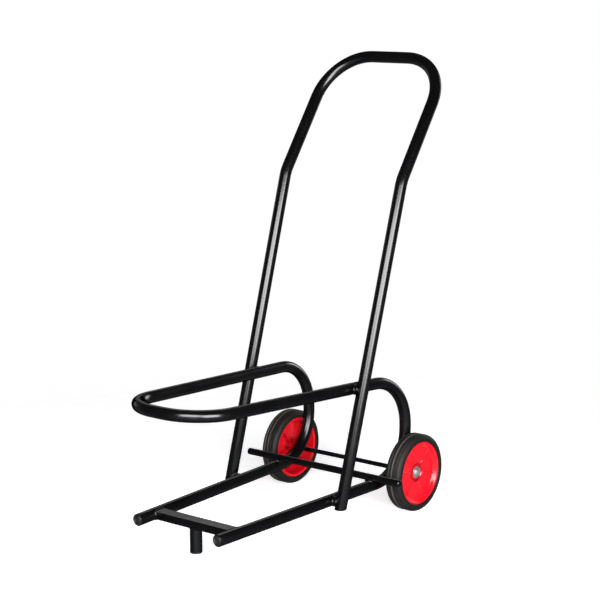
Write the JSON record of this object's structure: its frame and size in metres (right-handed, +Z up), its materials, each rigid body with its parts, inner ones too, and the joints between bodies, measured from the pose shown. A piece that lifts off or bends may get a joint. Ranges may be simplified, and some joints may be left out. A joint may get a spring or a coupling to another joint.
{
  "type": "stacking chair trolley",
  "caption": "Bent-tube trolley for stacks of chairs, with low rails, a raised hoop, a tall push handle, a front foot and rubber-tyred wheels on a rear axle.",
  "frame": {"origin": "on the floor, under the middle of the whole trolley's bounding box", "axes": "+Z up, +X along the axle towards the right wheel, +Y towards the rear, where the wheels and the handle are"},
  "size_m": [0.498, 0.927, 1.1631],
  "materials": {
    "black_powder_coat": "satin to gloss black powder coat with a slight orange peel",
    "black_plastic": "moulded dark grey plastic",
    "zinc": "bright zinc plate",
    "tyre_rubber": "solid rubber, semi-matt, with fine rings round the tread",
    "red_plastic": "glossy moulded red plastic",
    "nylon": "natural nylon"
  },
  "bodies": {
    "frame": {"base_loop_tube": "black_powder_coat", "handle_tube": "black_powder_coat", "front_crossbar": "black_powder_coat", "front_foot_tube": "black_powder_coat", "front_foot_cap": "black_plastic", "rail_end_plug_left": "black_plastic", "rail_end_plug_right": "black_plastic", "handle_end_plug_left": "black_plastic", "handle_end_plug_right": "black_plastic", "leg_spacer_lower_left": "black_powder_coat", "leg_spacer_lower_right": "black_powder_coat", "leg_spacer_upper_left": "black_powder_coat", "leg_spacer_upper_right": "black_powder_coat", "stop_rod": "black_powder_coat", "axle_rod": "black_powder_coat", "inner_washer_left": "zinc", "inner_washer_right": "zinc", "outer_washer_left": "zinc", "outer_washer_right": "zinc", "axle_cap_left": "zinc", "axle_cap_right": "zinc"},
    "wheel_left": {"tyre_left": "tyre_rubber", "rim_left": "red_plastic", "hub_bush_left": "nylon"},
    "wheel_right": {"tyre_right": "tyre_rubber", "rim_right": "red_plastic", "hub_bush_right": "nylon"}
  },
  "joints": [
    {"name": "wheel_left_spin", "type": "hinge", "parent": "frame", "child": "wheel_left", "pos_m": [-0.204, 0.28796, 0.1], "axis": [1, 0, 0], "continuous": true},
    {"name": "wheel_right_spin", "type": "hinge", "parent": "frame", "child": "wheel_right", "pos_m": [0.204, 0.28796, 0.1], "axis": [1, 0, 0], "continuous": true}
  ]
}
